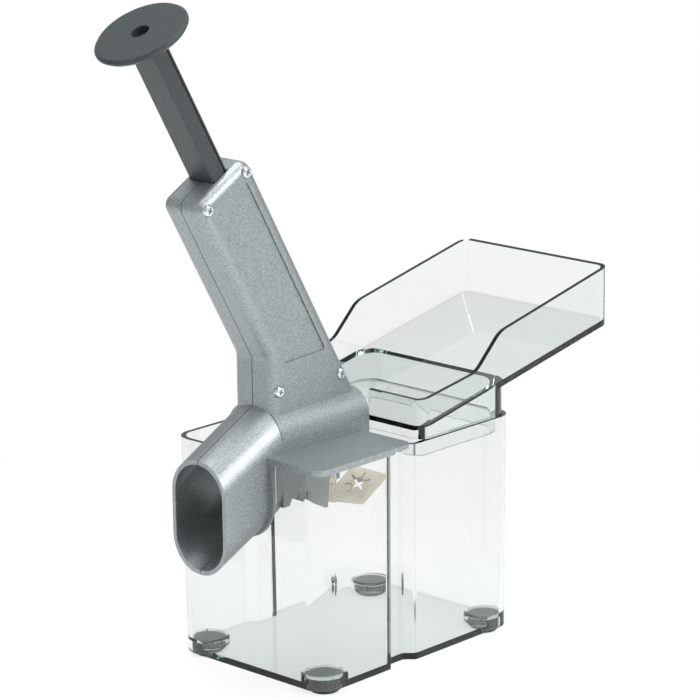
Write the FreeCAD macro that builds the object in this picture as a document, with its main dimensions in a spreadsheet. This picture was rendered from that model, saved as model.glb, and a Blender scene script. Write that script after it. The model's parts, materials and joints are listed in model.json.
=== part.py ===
import FreeCAD, Part
import os
import Sketcher

# Cherry pitter with a push plunger, a cast two-part head, a clear stone container and a feed tray.
# Lengths are in millimetres. X runs from the chute to the tray, Z is up, Y is across.

doc = FreeCAD.newDocument("cherry_pitter")
sheet = doc.addObject("Spreadsheet::Sheet", "Sizes")
row_count = 0


class Size:
    """A number together with the sheet expression that gives it."""

    def __init__(self, value, text):
        self.value = value
        self.text = text

    def combine(self, other, sign, value):
        right = other.text if isinstance(other, Size) else str(other)
        return Size(value, "(" + self.text + " " + sign + " " + right + ")")

    def __add__(self, other):
        return self.combine(other, "+", self.value + number(other))

    def __sub__(self, other):
        return self.combine(other, "-", self.value - number(other))

    def __mul__(self, other):
        return self.combine(other, "*", self.value * number(other))

    def __truediv__(self, other):
        return self.combine(other, "/", self.value / number(other))

    def __neg__(self):
        return Size(-self.value, "(0 - " + self.text + ")")


def number(item):
    return item.value if isinstance(item, Size) else float(item)


def size(alias, value):
    """Write one size into the sheet and return it."""
    global row_count
    row_count += 1
    sheet.set("A" + str(row_count), alias)
    sheet.set("B" + str(row_count), str(value))
    sheet.setAlias("B" + str(row_count), alias)
    return Size(float(value), "Sizes." + alias)


def sine(angle):
    return Size(FreeCAD.Units.Quantity(str(0)).Value + math_sin(angle.value), "sin(" + angle.text + " * 1 deg)")


def cosine(angle):
    return Size(math_cos(angle.value), "cos(" + angle.text + " * 1 deg)")


def tangent(angle):
    return Size(math_sin(angle.value) / math_cos(angle.value), "tan(" + angle.text + " * 1 deg)")


def math_sin(degrees):
    turn = FreeCAD.Rotation(FreeCAD.Vector(0, 0, 1), degrees)
    return turn.multVec(FreeCAD.Vector(1, 0, 0)).y


def math_cos(degrees):
    turn = FreeCAD.Rotation(FreeCAD.Vector(0, 0, 1), degrees)
    return turn.multVec(FreeCAD.Vector(1, 0, 0)).x


# Container
box_length = size("box_length", 130)
box_half_width = size("box_half_width", 46.2)
box_height = size("box_height", 103)
box_wall = size("box_wall", 2.4)
box_draft = size("box_draft", 0.33)
box_corner_radius = size("box_corner_radius", 10)
groove_start = size("groove_start", 44.7)
groove_length = size("groove_length", 17)
groove_depth = size("groove_depth", 4.5)
groove_flank = size("groove_flank", 4)
groove_radius = size("groove_radius", 1.5)
floor_thickness = size("floor_thickness", 2.6)

# Feet
foot_diameter = size("foot_diameter", 16)
foot_height = size("foot_height", 7)
dome_height = size("dome_height", 4.9)
dome_wall = size("dome_wall", 1.6)
foot_stand = size("foot_stand", 2.6)
foot_inset = size("foot_inset", 10.9)
foot_side_inset = size("foot_side_inset", 9.6)
foot_rib_depth = size("foot_rib_depth", 0.8)
foot_rib_width = size("foot_rib_width", 1.1)
foot_rib_count = size("foot_rib_count", 24)
foot_clearance = size("foot_clearance", 0.3)

# Plunger axis
tilt = size("tilt", 29.5)
knob_x = size("knob_x", -56.9)
knob_rise = size("knob_rise", 197.4)
knob_z = box_height + knob_rise
stroke = size("stroke", 60)

# Knob and bar
knob_radius = size("knob_radius", 21.3)
knob_thickness = size("knob_thickness", 3.2)
knob_edge_radius = size("knob_edge_radius", 1.2)
knob_hole_diameter = size("knob_hole_diameter", 8.4)
bar_width = size("bar_width", 15)
bar_thickness = size("bar_thickness", 9.5)
bar_length = size("bar_length", 116)
bar_edge = size("bar_edge", 0.6)
bar_groove_width = size("bar_groove_width", 1.2)
bar_groove_depth = size("bar_groove_depth", 0.6)
bar_clearance = size("bar_clearance", 0.35)

# Pitting pin, its cross pin and the spring
pin_diameter = size("pin_diameter", 5)
pin_reach = size("pin_reach", 106)
pin_socket_depth = size("pin_socket_depth", 14)
pin_tip_length = size("pin_tip_length", 8)
pin_flute_width = size("pin_flute_width", 1.4)
cross_pin_diameter = size("cross_pin_diameter", 2.4)
spring_radius = size("spring_radius", 5.4)
spring_wire = size("spring_wire", 1.3)
spring_turns = size("spring_turns", 12)
cavity_radius = size("cavity_radius", 7.2)
washer_thickness = size("washer_thickness", 1.6)
seat_clearance = size("seat_clearance", 0.3)

# Head
slab_half_thickness = size("slab_half_thickness", 12.5)
slab_top_depth = size("slab_top_depth", 77)
slab_left = size("slab_left", 21.5)
slab_right = size("slab_right", 14.5)
slab_corner_radius = size("slab_corner_radius", 5)
slab_edge_radius = size("slab_edge_radius", 5)
neck_x = size("neck_x", 5.2)
throat_top_rise = size("throat_top_rise", 22)
throat_top_z = box_height + throat_top_rise
throat_half_width = size("throat_half_width", 19)
throat_back_x = size("throat_back_x", 61)
throat_edge_radius = size("throat_edge_radius", 12)
plate_clearance = size("plate_clearance", 0.3)
plate_thickness = size("plate_thickness", 1.9)
plate_front_overhang = size("plate_front_overhang", 3.6)
plate_side_overhang = size("plate_side_overhang", 3.6)
plate_back_x = size("plate_back_x", 57)
plate_corner_radius = size("plate_corner_radius", 5)
lip_depth = size("lip_depth", 0.9)
lip_thickness = size("lip_thickness", 1.8)

# Chute
mouth_x = size("mouth_x", -29.5)
mouth_bottom_drop = size("mouth_bottom_drop", 49.2)
mouth_bottom_z = box_height - mouth_bottom_drop
mouth_top_rise = size("mouth_top_rise", 3.5)
mouth_top_z = box_height + mouth_top_rise
mouth_half_width = size("mouth_half_width", 16.8)
root_x = size("root_x", 8)
root_bottom_drop = size("root_bottom_drop", 31)
root_bottom_z = box_height - root_bottom_drop
root_top_rise = size("root_top_rise", 23)
root_top_z = box_height + root_top_rise
root_half_width = size("root_half_width", 17.6)
chute_wall = size("chute_wall", 2)
notch_clearance = size("notch_clearance", 0.6)

# Cheeks under the plate and the pit pad
cheek_thickness = size("cheek_thickness", 2.4)
cheek_end_x = size("cheek_end_x", 36.8)
cheek_drop = size("cheek_drop", 23)
cheek_low_z = box_height - cheek_drop
fin_drop = size("fin_drop", 29.4)
fin_low_z = box_height - fin_drop
pad_drop = size("pad_drop", 35.5)
pad_half_width = size("pad_half_width", 10)
pad_half_length = size("pad_half_length", 9.5)
pad_thickness = size("pad_thickness", 3)
pad_tongue_length = size("pad_tongue_length", 16)
pad_tongue_half_width = size("pad_tongue_half_width", 6)
pad_bore_radius = size("pad_bore_radius", 3.2)
star_slot_width = size("star_slot_width", 1.2)
star_slot_length = size("star_slot_length", 13)
bore_radius = size("bore_radius", 13.8)
stripper_thickness = size("stripper_thickness", 2)

# Screws
screw_head_diameter = size("screw_head_diameter", 5.2)
screw_head_height = size("screw_head_height", 1.8)
screw_shank_diameter = size("screw_shank_diameter", 3)
screw_length = size("screw_length", 18)
screw_inset = size("screw_inset", 4.6)
screw_recess_depth = size("screw_recess_depth", 1.2)
screw_clearance = size("screw_clearance", 0.15)

# Feed gate
gate_width = size("gate_width", 24)
gate_length = size("gate_length", 8.6)
gate_thickness = size("gate_thickness", 1.8)
gate_x = size("gate_x", 57)
gate_rise = size("gate_rise", 15.3)
gate_z = box_height + gate_rise
axle_diameter = size("axle_diameter", 2.4)

# Tray
tray_front_x = size("tray_front_x", 66.5)
tray_back_x = size("tray_back_x", 201)
tray_slope = size("tray_slope", 11.2)
tray_front_rise = size("tray_front_rise", 3.3)
tray_front_z = box_height + tray_front_rise
tray_wall = size("tray_wall", 2.2)
tray_floor = size("tray_floor", 2.4)
tray_front_height = size("tray_front_height", 15.2)
tray_back_height = size("tray_back_height", 28)
tray_rise_start = size("tray_rise_start", 38)
tray_rise_end = size("tray_rise_end", 55)
tray_corner_radius = size("tray_corner_radius", 6)
tray_gap_half_width = size("tray_gap_half_width", 13.5)
skirt_step = size("skirt_step", 2)
skirt_depth = size("skirt_depth", 8)
skirt_clearance = size("skirt_clearance", 0.7)
plug_front_radius = size("plug_front_radius", 4)
plug_rear_radius = size("plug_rear_radius", 12)
plug_seam = size("plug_seam", 0.05)

# Further head sizes
throat_back_rise = size("throat_back_rise", 21)
throat_back_z = box_height + throat_back_rise
flange_width = size("flange_width", 2)
arch_start_x = size("arch_start_x", 11)
arch_length = size("arch_length", 15)
arch_height = size("arch_height", 5)
bore_rise = size("bore_rise", 13.4)
bore_roof = size("bore_roof", 13)
passage_rise = size("passage_rise", 9)
passage_top_z = box_height + passage_rise
gate_room = size("gate_room", 12.6)
gate_ceiling_rise = size("gate_ceiling_rise", 18.2)
gate_ceiling = box_height + gate_ceiling_rise
axle_half = size("axle_half", 15.5)
panel_left = size("panel_left", -15.5)
panel_right = size("panel_right", 8)
panel_top = size("panel_top", 85.5)
panel_low_right = size("panel_low_right", 182)
panel_low_left = size("panel_low_left", 170.5)
panel_depth = size("panel_depth", 0.7)
parting_gap = size("parting_gap", 0.2)
ledge_half_width = size("ledge_half_width", 23)
low_screw_depth = size("low_screw_depth", 198.6)
low_screw_rise = size("low_screw_rise", 29)
low_screw_z = box_height + low_screw_rise
stripper_radius = size("stripper_radius", 7)

doc.recompute()

sin_tilt = sine(tilt)
cos_tilt = cosine(tilt)
middle_x = (knob_x - knob_radius * cos_tilt + knob_edge_radius * sin_tilt + tray_back_x) / 2


def on_axis(across, down):
    """Point of the middle plane that lies across and down from the knob's top centre."""
    x = knob_x + cos_tilt * across + sin_tilt * down
    z = knob_z + sin_tilt * across - cos_tilt * down
    return (x, z)


def bind(item, name, amount):
    item.setExpression(name, amount.text if isinstance(amount, Size) else str(amount))


def place(body, x=None, y=None, z=None, tilted=False):
    """Set a body's Placement from sizes, with the middle of the whole length over the origin."""
    if tilted:
        body.Placement = FreeCAD.Placement(FreeCAD.Vector(0, 0, 0), FreeCAD.Rotation(FreeCAD.Vector(0, 1, 0), -10))
        bind(body, "Placement.Rotation.Axis.x", 0)
        bind(body, "Placement.Rotation.Axis.y", 1)
        bind(body, "Placement.Rotation.Axis.z", 0)
        bind(body, "Placement.Rotation.Angle", -tilt)
    bind(body, "Placement.Base.x", (x if x is not None else box_length * 0) - middle_x)
    bind(body, "Placement.Base.y", y if y is not None else box_length * 0)
    bind(body, "Placement.Base.z", (z if z is not None else box_length * 0) + foot_stand)


def new_body(label):
    body = doc.addObject("PartDesign::Body", label)
    body.Label = label
    return body


def new_sketch(body, name, plane, offset=None):
    sketch = body.newObject("Sketcher::SketchObject", name)
    for feature in body.Origin.OriginFeatures:
        if feature.Role == plane:
            sketch.AttachmentSupport = [(feature, "")]
    sketch.MapMode = "FlatFace"
    if offset is not None:
        bind(sketch, "AttachmentOffset.Base.z", offset)
    return sketch


def fix_point(sketch, geometry, end, point):
    """Tie one end of an edge to its two coordinates."""
    for kind, coordinate in (("DistanceX", point[0]), ("DistanceY", point[1])):
        index = sketch.addConstraint(Sketcher.Constraint(kind, -1, 1, geometry, end, number(coordinate)))
        if isinstance(coordinate, Size):
            bind(sketch, "Constraints[" + str(index) + "]", coordinate)


def outline(sketch, points):
    """Closed outline of straight lines through the points."""
    count = len(points)
    first = sketch.GeometryCount
    for i in range(count):
        a = points[i]
        b = points[(i + 1) % count]
        start = FreeCAD.Vector(number(a[0]), number(a[1]), 0)
        end = FreeCAD.Vector(number(b[0]), number(b[1]), 0)
        sketch.addGeometry(Part.LineSegment(start, end), False)
    for i in range(count):
        nxt = first + (i + 1) % count
        sketch.addConstraint(Sketcher.Constraint("Coincident", first + i, 2, nxt, 1))
        fix_point(sketch, first + i, 1, points[i])


def circle(sketch, centre, radius):
    middle = FreeCAD.Vector(number(centre[0]), number(centre[1]), 0)
    index = sketch.addGeometry(Part.Circle(middle, FreeCAD.Vector(0, 0, 1), number(radius)), False)
    fix_point(sketch, index, 3, centre)
    rule = sketch.addConstraint(Sketcher.Constraint("Radius", index, number(radius)))
    bind(sketch, "Constraints[" + str(rule) + "]", radius)


def extrude(body, kind, name, sketch, length, reversed_way=False, midplane=False):
    feature = body.newObject("PartDesign::" + kind, name)
    feature.Profile = sketch
    bind(feature, "Length", length)
    feature.Reversed = reversed_way
    feature.Midplane = midplane
    return feature


def revolve(body, kind, name, sketch):
    feature = body.newObject("PartDesign::" + kind, name)
    feature.Profile = sketch
    feature.ReferenceAxis = (sketch, ["V_Axis"])
    feature.Angle = 360
    return feature


def solid_part(label, shape, tilted=False):
    """Make one sub-part from a finished shape, then place it."""
    part = doc.addObject("Part::Feature", label)
    part.Label = label
    part.Shape = shape
    place_part(part, tilted)
    return part


def place_part(part, tilted=False):
    if tilted:
        place(part, knob_x, None, knob_z, True)
    else:
        place(part)


def vector(x, y, z):
    return FreeCAD.Vector(number(x), number(y), number(z))


def rounded_loop(points, radii):
    """Closed wire through the corner points, each corner rounded by its radius."""
    count = len(points)
    arcs = []
    for i in range(count):
        corner = points[i]
        before = points[i - 1] - corner
        after = points[(i + 1) % count] - corner
        radius = radii[i]
        before.normalize()
        after.normalize()
        half = before.getAngle(after) / 2
        if radius < 0.01:
            arcs.append((corner, None, corner))
            continue
        ratio = abs(math_sin(half * 57.29577951) / math_cos(half * 57.29577951))
        reach = radius / ratio
        bisector = before + after
        bisector.normalize()
        distance = radius / abs(math_sin(half * 57.29577951))
        middle = corner + bisector * (distance - radius)
        arcs.append((corner + before * reach, middle, corner + after * reach))
    edges = []
    for i in range(count):
        start, middle, end = arcs[i]
        following = arcs[(i + 1) % count][0]
        if middle is not None:
            edges.append(Part.Arc(start, middle, end).toShape())
        edges.append(Part.LineSegment(end, following).toShape())
    return Part.Wire(edges)


def side_slab(points, radii, y_from, y_to):
    """Slab between two Y planes with a rounded outline drawn in X and Z."""
    corners = [vector(x, y_from, z) for x, z in points]
    face = Part.Face(rounded_loop(corners, [number(r) for r in radii]))
    return face.extrude(vector(0, number(y_to) - number(y_from), 0))


def plan_slab(points, radii, z_from, z_to):
    """Slab between two heights with a rounded outline drawn in X and Y."""
    corners = [vector(x, y, z_from) for x, y in points]
    face = Part.Face(rounded_loop(corners, [number(r) for r in radii]))
    return face.extrude(vector(0, 0, number(z_to) - number(z_from)))


def block(x_from, x_to, y_from, y_to, z_from, z_to):
    span = (number(x_to) - number(x_from), number(y_to) - number(y_from), number(z_to) - number(z_from))
    return Part.makeBox(span[0], span[1], span[2], vector(x_from, y_from, z_from))


def rod(start, end, radius):
    """Cylinder between two points."""
    way = end - start
    return Part.makeCylinder(number(radius), way.Length, start, way)


def axis_point(across, down, y=0):
    x, z = on_axis(across, down)
    return vector(x, y, z)


def round_outer(shape, radius, y):
    """Fillet the edges that lie on the given Y plane."""
    edges = []
    for edge in shape.Edges:
        box = edge.BoundBox
        if abs(box.YMin - number(y)) < 0.001 and abs(box.YMax - number(y)) < 0.001:
            edges.append(edge)
    return shape.makeFillet(number(radius), edges)


def mirrored(shape):
    return shape.mirror(FreeCAD.Vector(0, 0, 0), FreeCAD.Vector(0, 1, 0))


zero = box_length * 0
draft_growth = box_height * tangent(box_draft)
groove_end = groove_start + groove_length
box_top = box_height


# Container: drafted shell with a waist groove down each long side
def box_loop(z, grow, shrink):
    """Plan outline of the container, grown by the draft and shrunk by the wall."""
    move = number(shrink) - number(grow)
    half = number(box_half_width) - move
    groove = half - number(groove_depth)
    start = number(groove_start) - move / 2
    end = number(groove_end) + move / 2
    flank = number(groove_flank)
    low = move
    high = number(box_length) - move
    side = [(low, -half), (start, -half), (start + flank, -groove), (end - flank, -groove), (end, -half)]
    other = [(x, -y) for x, y in reversed(side)]
    corners = side + [(high, -half), (high, half)] + other
    corner = number(box_corner_radius) - number(shrink)
    small = number(groove_radius)
    radii = [corner, small, small, small, small, corner, corner, small, small, small, small, corner]
    return rounded_loop([vector(x, y, z) for x, y in corners], radii)


outside = Part.makeLoft([box_loop(0, 0, 0), box_loop(box_height, draft_growth, 0)], True, True)
inner_growth = draft_growth * (box_height - floor_thickness) / box_height
inside = Part.makeLoft(
    [box_loop(floor_thickness, draft_growth - inner_growth, box_wall),
     box_loop(box_height + 1, draft_growth, box_wall)], True, True)
foot_spots = []
for label, x, side in (
        ("foot_front_near", foot_inset, -1), ("foot_front_far", foot_inset, 1),
        ("foot_rear_near", box_length - foot_inset, -1), ("foot_rear_far", box_length - foot_inset, 1)):
    foot_spots.append((label, x, (box_half_width - foot_side_inset) * side))
recess_radius = foot_diameter / 2 + foot_clearance
container_shape = outside.cut(inside)
for label, x, y in foot_spots:
    dome = rod(vector(x, y, 0), vector(x, y, dome_height + dome_wall), recess_radius + dome_wall)
    top_edges = [edge for edge in dome.Edges if edge.BoundBox.ZMin > number(dome_height)]
    dome = dome.makeFillet(number(dome_wall), top_edges)
    container_shape = container_shape.fuse(dome.common(outside))
for label, x, y in foot_spots:
    container_shape = container_shape.cut(rod(vector(x, y, -1), vector(x, y, dome_height), recess_radius))


def stadium(x_from, x_to, half_width, bottom, top):
    """Upright stadium prism along X."""
    lower = rod(vector(x_from, 0, bottom + half_width), vector(x_to, 0, bottom + half_width), half_width)
    upper = rod(vector(x_from, 0, top - half_width), vector(x_to, 0, top - half_width), half_width)
    middle = block(x_from, x_to, -half_width, half_width, bottom + half_width, top - half_width)
    return lower.fuse([middle, upper])


chute_rise = (root_bottom_z - mouth_bottom_z) / (root_x - mouth_x)
notch_bottom = root_bottom_z - chute_rise * (root_x + draft_growth) - notch_clearance
notch_top = box_height + root_half_width * 2
container_shape = container_shape.cut(
    stadium(-plate_front_overhang, plate_front_overhang + box_wall, root_half_width + notch_clearance,
            notch_bottom, notch_top))
container = solid_part("container", container_shape.removeSplitter())

# Feet: ribbed rubber plugs in the floor's recesses
for label, x, y in foot_spots:
    foot = Part.makeCylinder(number(foot_diameter) / 2, number(foot_height), vector(x, y, -foot_stand))
    foot = foot.makeChamfer(number(foot_stand) * 0.6, [edge for edge in foot.Edges if edge.BoundBox.ZMax < 0])
    count = int(round(number(foot_rib_count)))
    outer = number(foot_diameter) / 2
    cut = number(foot_rib_depth)
    gap = number(foot_rib_width)
    slots = []
    for i in range(count):
        slot = Part.makeBox(cut * 2, gap, number(foot_height), FreeCAD.Vector(outer - cut, -gap / 2, 0))
        slot.rotate(FreeCAD.Vector(0, 0, 0), FreeCAD.Vector(0, 0, 1), i * 360.0 / count)
        slot.translate(vector(x, y, foot_stand * 0.3))
        slots.append(slot)
    solid_part(label, foot.cut(slots))

# Head: one cast half, drawn on the near side of the middle plane
slab_bottom_depth = (knob_z - throat_top_z) / cos_tilt + slab_right * tangent(tilt) + 3
neck_depth = (neck_x - knob_x + cos_tilt * slab_left) / sin_tilt
plate_low = box_height + plate_clearance
plate_high = plate_low + plate_thickness
plate_depth = (knob_z - plate_low) / cos_tilt
pad_depth = plate_depth + pad_drop
bore_start = plate_depth - bore_rise
cavity_end = bore_start - bore_roof
slab_points = [
    on_axis(-slab_left, slab_top_depth),
    on_axis(slab_right, slab_top_depth),
    on_axis(slab_right, slab_bottom_depth),
    (throat_back_x - 1, plate_low + 1),
    (neck_x, plate_low + 1),
    on_axis(-slab_left, neck_depth),
]
slab_radii = [slab_corner_radius, slab_corner_radius, 10, 0, 0, 6]
slab = side_slab(slab_points, slab_radii, 0, -slab_half_thickness)
slab = round_outer(slab, slab_edge_radius, -slab_half_thickness)


def half_section(x, half_width, radius, bottom, top, squared):
    """Near half of a rounded section across the chute or the throat."""
    w, r = number(half_width), number(radius)
    low, high = number(bottom), number(top)
    corners = [(0, high), (-w, high), (-w, low), (0, low)]
    radii = [0, r, 0 if squared else r, 0]
    return rounded_loop([vector(x, y, z) for y, z in corners], radii)


crown = chute_wall * 0.2
chute = Part.makeLoft([
    half_section(mouth_x, mouth_half_width, mouth_half_width - crown, mouth_bottom_z, mouth_top_z, False),
    half_section(root_x, root_half_width, root_half_width - crown, root_bottom_z, root_top_z, False)], True, True)
throat = Part.makeLoft([
    half_section(root_x - 2, root_half_width, root_half_width - crown, plate_low, root_top_z, True),
    half_section(throat_back_x, throat_half_width, throat_edge_radius, plate_low, throat_back_z, True)], True, True)
plate_side = box_half_width + plate_side_overhang
plate = plan_slab(
    [(-plate_front_overhang, 0), (-plate_front_overhang, -plate_side), (plate_back_x, -plate_side), (plate_back_x, 0)],
    [0, plate_corner_radius, plate_corner_radius, 0], plate_low, plate_high)
lip_out = plan_slab(
    [(-plate_front_overhang, 0), (-plate_front_overhang, -plate_side), (groove_start, -plate_side), (groove_start, 0)],
    [0, plate_corner_radius, 0, 0], plate_low - lip_depth, plate_low)
lip_side = plate_side - lip_thickness
lip_front = lip_thickness - plate_front_overhang
lip_in = plan_slab(
    [(lip_front, 1), (lip_front, -lip_side), (groove_start + 1, -lip_side), (groove_start + 1, 1)],
    [0, plate_corner_radius - lip_thickness, 0, 0], plate_low - lip_depth - 1, plate_low)
flange_x = -(draft_growth + plate_clearance)
flange = stadium(flange_x - lip_thickness, flange_x, root_half_width + flange_width,
                 notch_bottom - flange_width, plate_low + root_half_width)
near_side = block(-200, 300, -100, 0, -100, 500)
below_plate = block(-200, 300, -100, 100, -100, plate_high)
flange = flange.common(near_side).common(below_plate)
cheek_y = root_half_width - cheek_thickness
cheek = side_slab(
    [(root_x - 1, plate_low + 1), (root_x - 1, cheek_low_z), (arch_start_x, cheek_low_z),
     (arch_start_x + arch_height / 2, cheek_low_z + arch_height),
     (arch_start_x + arch_length - arch_height / 2, cheek_low_z + arch_height),
     (arch_start_x + arch_length, cheek_low_z - 1), (cheek_end_x - cheek_thickness, fin_low_z),
     (cheek_end_x, fin_low_z), (cheek_end_x + 6, plate_low + 1)],
    [0, 0, 0, 3, 3, 0, 0, 0, 0], -cheek_y, -root_half_width)
floor_plate = block(root_x - 2, cheek_end_x + 6, -cheek_y - 1, 0, cheek_low_z + arch_height + 0.5,
                    cheek_low_z + arch_height + 0.5 + cheek_thickness)
fin_plate = block(cheek_end_x - cheek_thickness, cheek_end_x, -cheek_y - 1, 0, fin_low_z,
                  cheek_low_z + arch_height + 1)
ledge = block(zero, plate_back_x, -ledge_half_width, 0, plate_low, plate_high)
core = slab.fuse([chute, throat, flange, cheek, floor_plate, fin_plate])
wide_half = core.fuse([plate, lip_out.cut(lip_in)])
narrow_half = core.fuse(ledge)

# Head: hollows for the bar, the spring, the cherry and the chute
bar_half_a = bar_thickness / 2 + bar_clearance
bar_half_y = bar_width / 2 + bar_clearance
bar_end = knob_thickness + bar_length
channel_end = bar_end + stroke + 4
channel_points = [
    on_axis(-bar_half_a, slab_top_depth - 5), on_axis(bar_half_a, slab_top_depth - 5),
    on_axis(bar_half_a, channel_end), on_axis(-bar_half_a, channel_end)]
channel = side_slab(channel_points, [0, 0, 0, 0], 1, -bar_half_y)
spring_hole = rod(axis_point(0, bar_end - 2), axis_point(0, cavity_end), cavity_radius)
pin_hole = rod(axis_point(0, cavity_end - 1), axis_point(0, bore_start + 1), pin_diameter / 2 + bar_clearance)
bore = rod(axis_point(0, bore_start), axis_point(0, bore_start + 60), bore_radius)
inner = root_half_width - chute_wall
chute_inner = Part.makeLoft([
    half_section(mouth_x - 0.01, mouth_half_width - chute_wall, mouth_half_width - chute_wall - crown,
                 mouth_bottom_z + chute_wall, mouth_top_z - chute_wall, False),
    half_section(root_x + 0.01, inner, inner - crown,
                 root_bottom_z + chute_wall, root_top_z - chute_wall, False)], True, True)
floor_top = cheek_low_z + arch_height + 0.5 + cheek_thickness
passage = side_slab(
    [(root_x - 1, floor_top), (root_x - 1, root_top_z - chute_wall * 3),
     (cheek_end_x + 6, passage_top_z), (cheek_end_x + 8, floor_top)],
    [0, 0, 0, 0], 1, -bore_radius)
entry = block(cheek_end_x + 6, throat_back_x + 5, -gate_room, 1, plate_high, gate_ceiling)
axle_hole = rod(vector(gate_x, 1, gate_z), vector(gate_x, -axle_half, gate_z), axle_diameter / 2 + 0.05)
hollows = [channel, spring_hole, pin_hole, bore, chute_inner, passage, entry, axle_hole]
own_side = block(-200, 300, -100, -parting_gap, -100, 500)
near_half = wide_half.cut(hollows).common(own_side)
far_half = mirrored(narrow_half.cut(hollows).common(own_side))
panel = side_slab(
    [on_axis(panel_left, panel_top), on_axis(panel_right, panel_top),
     on_axis(panel_right, panel_low_right), on_axis(panel_left, panel_low_left)],
    [1, 1, 1, 1], -slab_half_thickness - 1, -slab_half_thickness + panel_depth)
near_half = near_half.cut(panel)
screw_spots = [
    axis_point(slab_right - screw_inset, slab_top_depth + screw_inset),
    axis_point(-slab_left + screw_inset, slab_top_depth + screw_inset),
    axis_point(slab_right - screw_inset, low_screw_depth),
    vector(neck_x + screw_inset, 0, low_screw_z),
]
screw_seat = slab_half_thickness - screw_head_height / 2
screw_shapes = []
for spot in screw_spots:
    seat = FreeCAD.Vector(spot.x, -number(screw_seat), spot.z)
    outer_point = FreeCAD.Vector(spot.x, -number(slab_half_thickness) - 3, spot.z)
    tip = FreeCAD.Vector(spot.x, -number(screw_seat) + number(screw_length), spot.z)
    past_tip = FreeCAD.Vector(spot.x, tip.y + 1, spot.z)
    near_half = near_half.cut([
        rod(seat, outer_point, screw_head_diameter / 2 + screw_clearance),
        rod(outer_point, past_tip, screw_shank_diameter / 2 + screw_clearance)])
    far_half = far_half.cut(rod(seat, past_tip, screw_shank_diameter / 2 + screw_clearance))
    head_top = FreeCAD.Vector(spot.x, -number(screw_seat) - number(screw_head_height), spot.z)
    head = rod(seat, head_top, screw_head_diameter / 2)
    head = head.makeFillet(number(screw_head_height) * 0.45,
                           [edge for edge in head.Edges if edge.BoundBox.YMax < head_top.y + 0.001])
    screw = head.fuse(rod(seat, tip, screw_shank_diameter / 2))
    slot = number(screw_head_diameter) * 0.55
    deep = number(screw_recess_depth)
    for turn in (0, 90):
        cut = Part.makeBox(slot, deep * 2, 0.9, FreeCAD.Vector(-slot / 2, -deep, -0.45))
        cut.rotate(FreeCAD.Vector(0, 0, 0), FreeCAD.Vector(0, 1, 0), turn + 20)
        cut.translate(head_top)
        screw = screw.cut(cut)
    screw_shapes.append(screw)
solid_part("head_half_near", near_half.removeSplitter())
solid_part("head_half_far", far_half.removeSplitter())
solid_part("head_screws", Part.makeCompound(screw_shapes))

# Pit pad: folded pale pad with a star cut round the pin's path
pad_top = pad_depth - pad_thickness / 2
pad_low = pad_depth + pad_thickness / 2
tongue_high = fin_low_z + pad_thickness + 1.5
tongue_low = fin_low_z + 1.5
pad_shape = side_slab(
    [(cheek_end_x + seat_clearance, tongue_high), on_axis(-pad_half_length, pad_top),
     on_axis(pad_half_length, pad_top), on_axis(pad_half_length, pad_low),
     on_axis(-pad_half_length, pad_low), (cheek_end_x + seat_clearance, tongue_low)],
    [0, 2, 1, 1, 4, 0], -pad_half_width, pad_half_width)
pad_shape = pad_shape.cut(rod(axis_point(0, pad_top - 2), axis_point(0, pad_low + 2), pad_bore_radius))
for turn in (0, 60, 120):
    length = number(star_slot_length)
    width = number(star_slot_width)
    slot = Part.makeBox(length, width, 12, FreeCAD.Vector(-length / 2, -width / 2, -6))
    slot.rotate(FreeCAD.Vector(0, 0, 0), FreeCAD.Vector(0, 0, 1), turn)
    slot.rotate(FreeCAD.Vector(0, 0, 0), FreeCAD.Vector(0, 1, 0), -number(tilt))
    slot.translate(axis_point(0, pad_depth))
    pad_shape = pad_shape.cut(slot)
solid_part("pit_pad", pad_shape)

# Feed gate: flap on a cross axle in the throat's back opening
barrel_radius = axle_diameter / 2 + 0.9
barrel = rod(vector(gate_x, -gate_width / 2, gate_z), vector(gate_x, gate_width / 2, gate_z), barrel_radius)
flap = block(gate_x, gate_x + gate_length, -gate_width / 2, gate_width / 2,
             gate_z - gate_thickness / 2, gate_z + gate_thickness / 2)
axle_bore = rod(vector(gate_x, -gate_width, gate_z), vector(gate_x, gate_width, gate_z), axle_diameter / 2 + 0.05)
solid_part("feed_gate", barrel.fuse(flap).cut(axle_bore).removeSplitter())
solid_part("gate_axle", rod(vector(gate_x, -axle_half + 0.1, gate_z), vector(gate_x, axle_half - 0.1, gate_z),
                            axle_diameter / 2))

# Plunger pieces are drawn along Z, downwards from the knob's top centre
knob = new_body("knob")
knob_profile = new_sketch(knob, "knob_profile", "XZ_Plane")
outline(knob_profile, [
    (knob_hole_diameter / 2, -knob_thickness),
    (knob_radius - knob_edge_radius, -knob_thickness),
    (knob_radius, -knob_thickness + knob_edge_radius),
    (knob_radius, -knob_edge_radius),
    (knob_radius - knob_edge_radius, zero),
    (knob_hole_diameter / 2, zero),
])
revolve(knob, "Revolution", "knob_disc", knob_profile)
place_part(knob, True)

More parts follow.
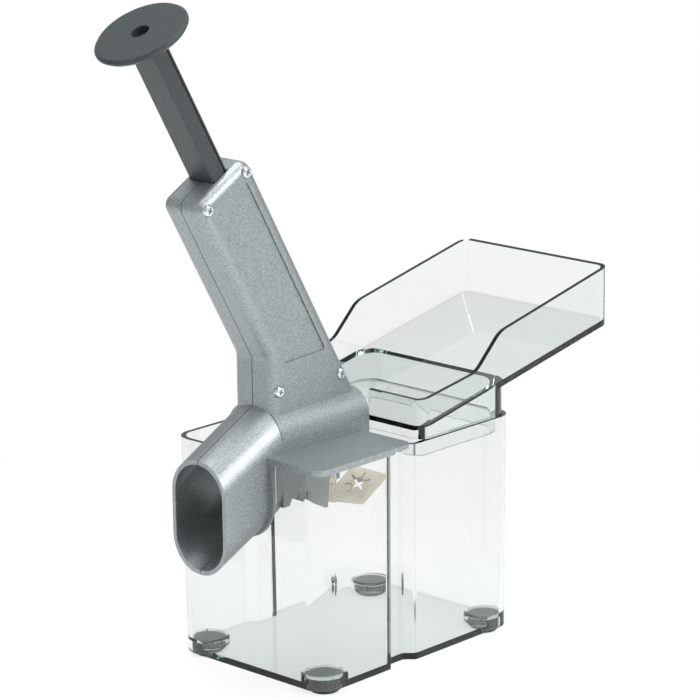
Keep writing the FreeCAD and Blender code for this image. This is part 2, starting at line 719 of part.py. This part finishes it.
bar = new_body("plunger_bar")
bar_plan = new_sketch(bar, "bar_plan", "XY_Plane", -knob_thickness)
bar_a = bar_thickness / 2
bar_y = bar_width / 2
outline(bar_plan, [
    (-bar_a + bar_edge, -bar_y), (bar_a - bar_edge, -bar_y), (bar_a, -bar_y + bar_edge), (bar_a, bar_y - bar_edge),
    (bar_a - bar_edge, bar_y), (-bar_a + bar_edge, bar_y), (-bar_a, bar_y - bar_edge), (-bar_a, -bar_y + bar_edge),
])
extrude(bar, "Pad", "bar_block", bar_plan, bar_length, True)
groove_plan = new_sketch(bar, "bar_groove_plan", "XY_Plane", -knob_thickness)
groove_middle = bar_a / 2
for side in (-1, 1):
    outline(groove_plan, [
        (groove_middle, (bar_y - bar_groove_depth) * side),
        (groove_middle + bar_groove_width, (bar_y - bar_groove_depth) * side),
        (groove_middle + bar_groove_width, (bar_y + 1) * side),
        (groove_middle, (bar_y + 1) * side),
    ])
extrude(bar, "Pocket", "bar_grooves", groove_plan, bar_length + 1)
socket = new_sketch(bar, "pin_socket", "XY_Plane", -bar_end)
circle(socket, (zero, zero), pin_diameter / 2)
extrude(bar, "Pocket", "pin_socket_cut", socket, pin_socket_depth, True)
cross_height = pin_socket_depth / 2 - bar_end
cross_hole = new_sketch(bar, "cross_pin_hole", "XZ_Plane", -bar_y - 1)
circle(cross_hole, (zero, cross_height), cross_pin_diameter / 2)
extrude(bar, "Pocket", "cross_pin_cut", cross_hole, bar_width + 2, True)
place_part(bar, True)

pin_end = bar_end + pin_reach
pin_shape = Part.makeCylinder(number(pin_diameter) / 2, number(pin_socket_depth + pin_reach), vector(0, 0, -pin_end))
for i in range(4):
    flute = Part.makeBox(number(pin_diameter), number(pin_flute_width), number(pin_tip_length),
                         FreeCAD.Vector(number(pin_flute_width) * 0.7, number(pin_flute_width) * -0.5, 0))
    flute.rotate(FreeCAD.Vector(0, 0, 0), FreeCAD.Vector(0, 0, 1), 45 + 90 * i)
    flute.translate(vector(0, 0, -pin_end - 0.01))
    pin_shape = pin_shape.cut(flute)
cross_bore = Part.makeCylinder(number(cross_pin_diameter) / 2, 40, vector(0, -20, cross_height),
                               FreeCAD.Vector(0, 1, 0))
solid_part("pitting_pin", pin_shape.cut(cross_bore), True)
cross_pin = Part.makeCylinder(number(cross_pin_diameter) / 2, number(bar_width - bar_edge * 2),
                              vector(0, -bar_y + bar_edge, cross_height), FreeCAD.Vector(0, 1, 0))
solid_part("cross_pin", cross_pin, True)

# Return spring between the bar's end and the seat washer
washer_top = cavity_end - washer_thickness
spring_span = washer_top - bar_end - spring_wire - seat_clearance * 2
spring_low = -(washer_top - spring_wire / 2 - seat_clearance)


def spring_point(turn):
    radius = number(spring_radius)
    height = number(spring_low) + number(spring_span) * turn / number(spring_turns)
    return FreeCAD.Vector(radius * math_cos(360 * turn), radius * math_sin(360 * turn), height)


arcs = []
for i in range(int(round(number(spring_turns) * 2))):
    arcs.append(Part.Arc(spring_point(i / 2), spring_point(i / 2 + 0.25), spring_point(i / 2 + 0.5)).toShape())
section = Part.Wire(Part.makeCircle(number(spring_wire) / 2, spring_point(0), FreeCAD.Vector(0, 1, 0)))
coil = Part.Wire(arcs).makePipeShell([section], True, False)
solid_part("return_spring", coil, True)
washer = Part.makeCylinder(number(cavity_radius - bar_clearance), number(washer_thickness),
                           vector(0, 0, -cavity_end))
washer_hole = Part.makeCylinder(number(pin_diameter / 2 + bar_clearance), number(washer_thickness) + 2,
                                vector(0, 0, -cavity_end - 1))
solid_part("spring_seat", washer.cut(washer_hole), True)
ring = Part.makeCylinder(number(stripper_radius), number(stripper_thickness),
                         vector(0, 0, -bore_start - stripper_thickness))
ring_hole = Part.makeCylinder(number(pin_diameter / 2 + bar_clearance), number(stripper_thickness) + 2,
                              vector(0, 0, -bore_start - stripper_thickness - 1))
solid_part("stripper_ring", ring.cut(ring_hole), True)


# Tray: tub with a sloping floor, S-shaped side walls and a skirt that plugs into the container
slope = tangent(tray_slope)


def floor_z(x):
    return tray_front_z + slope * (x - tray_front_x)


tray_profile = [
    (tray_front_x - 1, floor_z(tray_front_x - 1)),
    (tray_back_x + 1, floor_z(tray_back_x + 1)),
    (tray_back_x + 1, floor_z(tray_back_x + 1) + tray_back_height),
    (tray_front_x + tray_rise_end, floor_z(tray_front_x + tray_rise_end) + tray_back_height * 0.94),
    (tray_front_x + tray_rise_start, floor_z(tray_front_x + tray_rise_start) + tray_front_height * 0.9),
    (tray_front_x - 1, floor_z(tray_front_x - 1) + tray_front_height),
]
side_shape = side_slab(tray_profile, [0, 0, 0, 14, 14, 0], -200, 200)


def tray_plan(shrink, low, high):
    half = box_half_width - shrink
    x_from = tray_front_x + shrink
    x_to = tray_back_x - shrink
    corner = tray_corner_radius - shrink
    return plan_slab([(x_from, -half), (x_to, -half), (x_to, half), (x_from, half)],
                     [corner, corner, corner, corner], low, high)


tub = tray_plan(zero, 60, 260).common(side_shape)
inner_profile = [
    (tray_front_x - 5, floor_z(tray_front_x - 5) + tray_floor),
    (tray_back_x + 5, floor_z(tray_back_x + 5) + tray_floor),
    (tray_back_x + 5, 300), (tray_front_x - 5, 300)]
hollow = tray_plan(tray_wall, 60, 260).common(side_slab(inner_profile, [0, 0, 0, 0], -200, 200))
gap = side_slab([(tray_front_x - 2, floor_z(tray_front_x - 2) + tray_floor),
                 (tray_front_x + tray_wall + 1, floor_z(tray_front_x + tray_wall + 1) + tray_floor),
                 (tray_front_x + tray_wall + 1, 300), (tray_front_x - 2, 300)],
                [0, 0, 0, 0], -tray_gap_half_width, tray_gap_half_width)
skirt_end = box_length - skirt_step
wedge = plan_slab(
    [(tray_front_x, -box_half_width), (skirt_end, -box_half_width),
     (skirt_end, box_half_width), (tray_front_x, box_half_width)],
    [tray_corner_radius, box_corner_radius, box_corner_radius, tray_corner_radius],
    plate_low, floor_z(skirt_end) + 1)
plug_inset = box_wall + skirt_clearance
plug_low = plate_low - skirt_depth
plug_end = box_length - plug_inset


def plug_plan(shrink, low, high):
    half = box_half_width - plug_inset - shrink
    x_from = tray_front_x + shrink
    x_to = plug_end - shrink
    front = plug_front_radius - shrink
    rear = plug_rear_radius - shrink
    return plan_slab([(x_from, -half), (x_to, -half), (x_to, half), (x_from, half)],
                     [front, rear, rear, front], low, high)


plug = plug_plan(zero, plug_low, plate_low - plug_seam)
plug_room = plug_plan(tray_wall, plug_low - 1, 200)
tray_shape = tub.cut(hollow).cut(gap)
under_floor = side_slab([(tray_front_x - 9, floor_z(tray_front_x - 9)), (tray_back_x, floor_z(tray_back_x)),
                         (tray_back_x, 40), (tray_front_x - 9, 40)], [0, 0, 0, 0], -200, 200)
skirt = wedge.cut(plug_room).common(under_floor)
tray_shape = tray_shape.fuse(skirt).removeSplitter()
solid_part("feed_tray", tray_shape)
solid_part("tray_locating_rim", plug.cut(plug_room))

doc.recompute()

# Checks and export
os.makedirs("parts", exist_ok=True)
triangles = 0
for item in doc.Objects:
    is_part = item.TypeId in ("PartDesign::Body", "Part::Feature") and item.getParentGeoFeatureGroup() is None
    if "Invalid" in item.State or "Error" in item.State:
        print("PROBLEM", item.Name, item.State)
    if not is_part:
        continue
    shape = item.Shape
    mesh = shape.tessellate(0.3)
    triangles += len(mesh[1])
    box = shape.BoundBox
    print(item.Label, shape.isValid(), len(shape.Solids), round(shape.Volume), len(mesh[1]),
          [round(v, 1) for v in (box.XMin, box.XMax, box.YMin, box.YMax, box.ZMin, box.ZMax)])
    shape.exportStep("parts/" + item.Label + ".step")
print("triangles", triangles)
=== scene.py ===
import json

import bpy
from mathutils import Matrix, Vector

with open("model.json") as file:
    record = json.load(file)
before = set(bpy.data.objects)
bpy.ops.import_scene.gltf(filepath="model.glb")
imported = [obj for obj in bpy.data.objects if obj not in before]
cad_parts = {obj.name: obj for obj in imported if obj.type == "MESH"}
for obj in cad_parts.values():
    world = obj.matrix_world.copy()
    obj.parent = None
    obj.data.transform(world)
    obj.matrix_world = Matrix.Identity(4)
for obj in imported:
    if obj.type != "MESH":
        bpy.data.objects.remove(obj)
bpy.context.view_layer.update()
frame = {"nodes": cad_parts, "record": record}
nodes = frame["nodes"]
scene = bpy.context.scene

# Place of the container's front wall and underside in the scene, in millimetres
MM = 0.001
FRONT_X = -63.076
STAND = 2.6

WHITE = (1, 1, 1)

CAST_METALLIC = 0.85
CAST_EDGES = (0.3, 0.7)
CAST_DETAIL = 3.0
CAST_BUMP = 0.5
CAST_PATCHES = 0.2
PLASTIC_EDGES = (0.35, 0.65)
PLASTIC_DETAIL = 4.0
PLASTIC_BUMP = 0.4
PLASTIC_PATCHES = 0.3
PATCH_DETAIL = 4.0
ROUGHNESS_SPREAD = 0.05
FAINT_DETAIL = 2.0

CLEAR_INDEX = 1.46
CLEAR_SHADOW = (0.9, 0.92, 0.91)
CLEAR_NOISE = 40.0
CLEAR_EDGES = (0.2, 0.8)
CLEAR_LIFT = 1.01
CLEAR_SPREAD = 0.01

BRIGHT_NOISE = 900.0
BRIGHT_EDGES = (0.3, 0.7)
BRIGHT_SPREAD = 0.06

FLOOR_REACH = 6
FLOOR_DARK = (0.93, 0.93, 0.93)
FLOOR_LIGHT = (0.95, 0.95, 0.95)
FLOOR_NOISE = 2.0
FLOOR_DETAIL = 1.0
FLOOR_EDGES = (0.3, 0.7)
FLOOR_ROUGHNESS = 0.7
FADE_START = 0.10
FADE_END = 0.36
FADE_LOW = 0.72
FADE_HIGH = 1.0

STUDIO_TINT = (0.86, 0.9, 0.92)
STUDIO_STRENGTH = 0.62
SKY_START = 0.56
SKY_END = 0.70
SKY_DARK = (0.22, 0.27, 0.265)

LIGHT_TARGET = (0.0, 0.0, 0.13)
COOL_LIGHT = (0.9, 0.96, 1.0)

IMAGE_PIXELS = 700.0
FOCAL_PIXELS = 3239.0
SENSOR_WIDTH = 36.0
CLIP_END = 20.0
CAMERA_PLACE = (-975.6, -987.8, 514.9)
CAMERA_BACK = (-0.7027, -0.6646, 0.2540)
CAMERA_RIGHT = (0.6849, -0.7285, -0.0113)


def spot(x, y, z):
    """Place in the scene of a point in millimetres from the container's front wall and underside."""
    return Vector(((x + FRONT_X) * MM, y * MM, (z + STAND) * MM))


# Nodes
def new_material(name):
    material = bpy.data.materials.new(name)
    material.use_nodes = True
    tree = material.node_tree
    return material, tree, tree.nodes["Principled BSDF"]


def place_coordinates(tree):
    return tree.nodes.new("ShaderNodeTexCoord").outputs["Object"]


def noise(tree, scale, detail, roughness=0.55):
    node = tree.nodes.new("ShaderNodeTexNoise")
    tree.links.new(place_coordinates(tree), node.inputs["Vector"])
    node.inputs["Scale"].default_value = scale
    node.inputs["Detail"].default_value = detail
    node.inputs["Roughness"].default_value = roughness
    return node.outputs["Fac"]


def bump(tree, shader, height, strength, distance):
    node = tree.nodes.new("ShaderNodeBump")
    node.inputs["Strength"].default_value = strength
    node.inputs["Distance"].default_value = distance
    tree.links.new(height, node.inputs["Height"])
    tree.links.new(node.outputs["Normal"], shader.inputs["Normal"])


def two_tone(tree, factor, low, high, first, last):
    """Colour that runs from the first to the last as the factor goes from low to high."""
    ramp = tree.nodes.new("ShaderNodeValToRGB")
    ramp.color_ramp.elements[0].position = low
    ramp.color_ramp.elements[0].color = (*first, 1)
    ramp.color_ramp.elements[1].position = high
    ramp.color_ramp.elements[1].color = (*last, 1)
    tree.links.new(factor, ramp.inputs["Fac"])
    return ramp.outputs["Color"]


def vary(tree, factor, low, high, start=0.0, end=1.0):
    """Number that runs from low to high as the factor goes from start to end."""
    node = tree.nodes.new("ShaderNodeMapRange")
    node.inputs["From Min"].default_value = start
    node.inputs["From Max"].default_value = end
    node.inputs["To Min"].default_value = low
    node.inputs["To Max"].default_value = high
    tree.links.new(factor, node.inputs["Value"])
    return node.outputs["Result"]


def calculate(tree, operation, first, second):
    node = tree.nodes.new("ShaderNodeMath")
    node.operation = operation
    tree.links.new(first, node.inputs[0])
    tree.links.new(second, node.inputs[1])
    return node.outputs[0]


def blend(tree, factor, first, second):
    node = tree.nodes.new("ShaderNodeMixShader")
    tree.links.new(factor, node.inputs["Fac"])
    tree.links.new(first, node.inputs[1])
    tree.links.new(second, node.inputs[2])
    return node.outputs["Shader"]


def background(tree, colour, strength):
    node = tree.nodes.new("ShaderNodeBackground")
    node.inputs["Color"].default_value = (*colour, 1)
    node.inputs["Strength"].default_value = strength
    return node


# Materials
def grained(name, dark, light, edges, rough, grain, detail, patches, bump_strength, depth):
    """Rough surface with a fine grain in its colour and relief, and wider patches in its roughness."""
    material, tree, shader = new_material(name)
    fine = noise(tree, grain, detail)
    tree.links.new(two_tone(tree, fine, *edges, dark, light), shader.inputs["Base Color"])
    wide = noise(tree, grain * patches, PATCH_DETAIL)
    tree.links.new(vary(tree, wide, rough - ROUGHNESS_SPREAD, rough + ROUGHNESS_SPREAD),
                   shader.inputs["Roughness"])
    bump(tree, shader, fine, bump_strength, depth)
    return material, shader


def cast_metal(name, dark, light, rough, grain, depth):
    material, shader = grained(name, dark, light, CAST_EDGES, rough, grain, CAST_DETAIL,
                               CAST_PATCHES, CAST_BUMP, depth)
    shader.inputs["Metallic"].default_value = CAST_METALLIC
    return material


def plastic(name, dark, light, rough, grain, depth):
    return grained(name, dark, light, PLASTIC_EDGES, rough, grain, PLASTIC_DETAIL,
                   PLASTIC_PATCHES, PLASTIC_BUMP, depth)[0]


def clear(name, tint, rough, depth_tint, density):
    """Clear plastic whose long light paths, along edges and rims, turn dark green."""
    material, tree, shader = new_material(name)
    surface = tree.nodes["Material Output"]
    shader.inputs["Transmission Weight"].default_value = 1.0
    shader.inputs["IOR"].default_value = CLEAR_INDEX
    faint = noise(tree, CLEAR_NOISE, FAINT_DETAIL)
    lifted = [min(1.0, c * CLEAR_LIFT) for c in tint]
    tree.links.new(two_tone(tree, faint, *CLEAR_EDGES, tint, lifted), shader.inputs["Base Color"])
    tree.links.new(vary(tree, faint, rough, rough + CLEAR_SPREAD), shader.inputs["Roughness"])
    shade = tree.nodes.new("ShaderNodeBsdfTransparent")
    shade.inputs["Color"].default_value = (*CLEAR_SHADOW, 1)
    is_shadow = tree.nodes.new("ShaderNodeLightPath").outputs["Is Shadow Ray"]
    mixed = blend(tree, is_shadow, shader.outputs["BSDF"], shade.outputs["BSDF"])
    tree.links.new(mixed, surface.inputs["Surface"])
    absorb = tree.nodes.new("ShaderNodeVolumeAbsorption")
    absorb.inputs["Color"].default_value = (*depth_tint, 1)
    absorb.inputs["Density"].default_value = density
    tree.links.new(absorb.outputs["Volume"], surface.inputs["Volume"])
    return material


def bright_metal(name, dark, light, rough):
    material, tree, shader = new_material(name)
    shader.inputs["Metallic"].default_value = 1.0
    faint = noise(tree, BRIGHT_NOISE, FAINT_DETAIL)
    tree.links.new(two_tone(tree, faint, *BRIGHT_EDGES, dark, light), shader.inputs["Base Color"])
    tree.links.new(vary(tree, faint, rough, rough + BRIGHT_SPREAD), shader.inputs["Roughness"])
    return material


materials = {
    "cast_aluminium": cast_metal(
        "cast_aluminium", dark=(0.235, 0.255, 0.258), light=(0.40, 0.425, 0.43),
        rough=0.47, grain=1300.0, depth=0.00012),
    "clear_plastic": clear(
        "clear_plastic", tint=(0.955, 0.952, 0.945), rough=0.0,
        depth_tint=(0.42, 0.58, 0.55), density=34.0),
    "clear_tray": clear(
        "clear_tray", tint=(0.95, 0.957, 0.953), rough=0.0,
        depth_tint=(0.38, 0.56, 0.54), density=40.0),
    "foot_rubber": plastic(
        "foot_rubber", dark=(0.02, 0.026, 0.027), light=(0.035, 0.042, 0.043),
        rough=0.6, grain=900.0, depth=0.00005),
    "screw_steel": bright_metal(
        "screw_steel", dark=(0.62, 0.64, 0.66), light=(0.72, 0.74, 0.76), rough=0.18),
    "pad_silicone": plastic(
        "pad_silicone", dark=(0.46, 0.40, 0.32), light=(0.54, 0.48, 0.39),
        rough=0.45, grain=300.0, depth=0.00003),
    "black_plastic": plastic(
        "black_plastic", dark=(0.014, 0.021, 0.022), light=(0.050, 0.060, 0.062),
        rough=0.40, grain=2000.0, depth=0.00006),
    "pin_steel": bright_metal(
        "pin_steel", dark=(0.5, 0.5, 0.52), light=(0.6, 0.6, 0.62), rough=0.25),
    "spring_steel": bright_metal(
        "spring_steel", dark=(0.4, 0.4, 0.42), light=(0.5, 0.5, 0.52), rough=0.3),
    "gate_plastic": plastic(
        "gate_plastic", dark=(0.62, 0.61, 0.57), light=(0.7, 0.69, 0.65),
        rough=0.4, grain=300.0, depth=0.00003),
}
slots = {entry["node"]: entry["material_slot"] for entry in frame["record"]["subparts"]}
for name, item in nodes.items():
    item.data.materials.clear()
    item.data.materials.append(materials[slots[name]])


# Floor, white to the eye away from the object and with a soft shadow near it
def add_object(name, vertices, faces, material):
    mesh = bpy.data.meshes.new(name)
    mesh.from_pydata(vertices, [], faces)
    mesh.update()
    mesh.materials.append(material)
    item = bpy.data.objects.new(name, mesh)
    scene.collection.objects.link(item)
    return item


floor_material, tree, shader = new_material("floor_white")
soft_noise = noise(tree, FLOOR_NOISE, FLOOR_DETAIL)
tree.links.new(two_tone(tree, soft_noise, *FLOOR_EDGES, FLOOR_DARK, FLOOR_LIGHT),
               shader.inputs["Base Color"])
shader.inputs["Roughness"].default_value = FLOOR_ROUGHNESS
away = tree.nodes.new("ShaderNodeVectorMath")
away.operation = "LENGTH"
tree.links.new(place_coordinates(tree), away.inputs[0])
fade = vary(tree, away.outputs["Value"], FADE_LOW, FADE_HIGH, FADE_START, FADE_END)
rays = tree.nodes.new("ShaderNodeLightPath")
direct = calculate(tree, "MAXIMUM", rays.outputs["Is Camera Ray"], rays.outputs["Is Transmission Ray"])
share = calculate(tree, "MULTIPLY", direct, fade)
white = tree.nodes.new("ShaderNodeEmission")
white.inputs["Color"].default_value = (*WHITE, 1)
white.inputs["Strength"].default_value = 1.0
tree.links.new(blend(tree, share, shader.outputs["BSDF"], white.outputs["Emission"]),
               tree.nodes["Material Output"].inputs["Surface"])
corners = [(-FLOOR_REACH, -FLOOR_REACH, 0), (FLOOR_REACH, -FLOOR_REACH, 0),
           (FLOOR_REACH, FLOOR_REACH, 0), (-FLOOR_REACH, FLOOR_REACH, 0)]
floor = add_object("floor", corners, [(0, 1, 2, 3)], floor_material)

# Studio, white to the eye and darker overhead for light that has passed through the clear plastic
world = bpy.data.worlds.new("studio")
scene.world = world
world.use_nodes = True
tree = world.node_tree
tree.nodes.clear()
output = tree.nodes.new("ShaderNodeOutputWorld")
rays = tree.nodes.new("ShaderNodeLightPath")
straight = background(tree, WHITE, 1.0)
around = background(tree, STUDIO_TINT, STUDIO_STRENGTH)
through = background(tree, WHITE, 1.0)
direction = tree.nodes.new("ShaderNodeTexCoord")
parts = tree.nodes.new("ShaderNodeSeparateXYZ")
tree.links.new(direction.outputs["Generated"], parts.inputs["Vector"])
height = vary(tree, parts.outputs["Z"], 0.0, 1.0, -1.0, 1.0)
tree.links.new(two_tone(tree, height, SKY_START, SKY_END, WHITE, SKY_DARK), through.inputs["Color"])
refracted = blend(tree, rays.outputs["Is Transmission Ray"],
                  around.outputs["Background"], through.outputs["Background"])
tree.links.new(blend(tree, rays.outputs["Is Camera Ray"], refracted, straight.outputs["Background"]),
               output.inputs["Surface"])


# Lights
def area_light(name, place, size, power, colour=WHITE):
    data = bpy.data.lights.new(name, "AREA")
    data.shape = "RECTANGLE"
    data.size = size[0]
    data.size_y = size[1]
    data.energy = power
    data.color = colour
    item = bpy.data.objects.new(name, data)
    scene.collection.objects.link(item)
    item.location = place
    item.rotation_euler = (Vector(LIGHT_TARGET) - Vector(place)).to_track_quat("-Z", "Y").to_euler()


area_light("key", place=(0.15, -1.1, 1.0), size=(0.7, 0.5), power=14.0)
area_light("left", place=(-1.2, 0.2, 0.7), size=(0.5, 0.8), power=1.2, colour=COOL_LIGHT)
area_light("top", place=(0.0, 0.1, 1.4), size=(0.8, 0.8), power=12.0)

# Camera, from the perspective of the container's edges
camera_data = bpy.data.cameras.new("camera")
camera = bpy.data.objects.new("camera", camera_data)
scene.collection.objects.link(camera)
scene.camera = camera
camera_data.sensor_width = SENSOR_WIDTH
camera_data.lens = FOCAL_PIXELS / IMAGE_PIXELS * SENSOR_WIDTH
camera_data.clip_end = CLIP_END
back = Vector(CAMERA_BACK).normalized()
right = Vector(CAMERA_RIGHT)
right = (right - back * right.dot(back)).normalized()
up = back.cross(right)
turn = Matrix((right, up, back)).transposed().to_4x4()
camera.matrix_world = Matrix.Translation(spot(*CAMERA_PLACE)) @ turn

scene.view_settings.view_transform = "Standard"
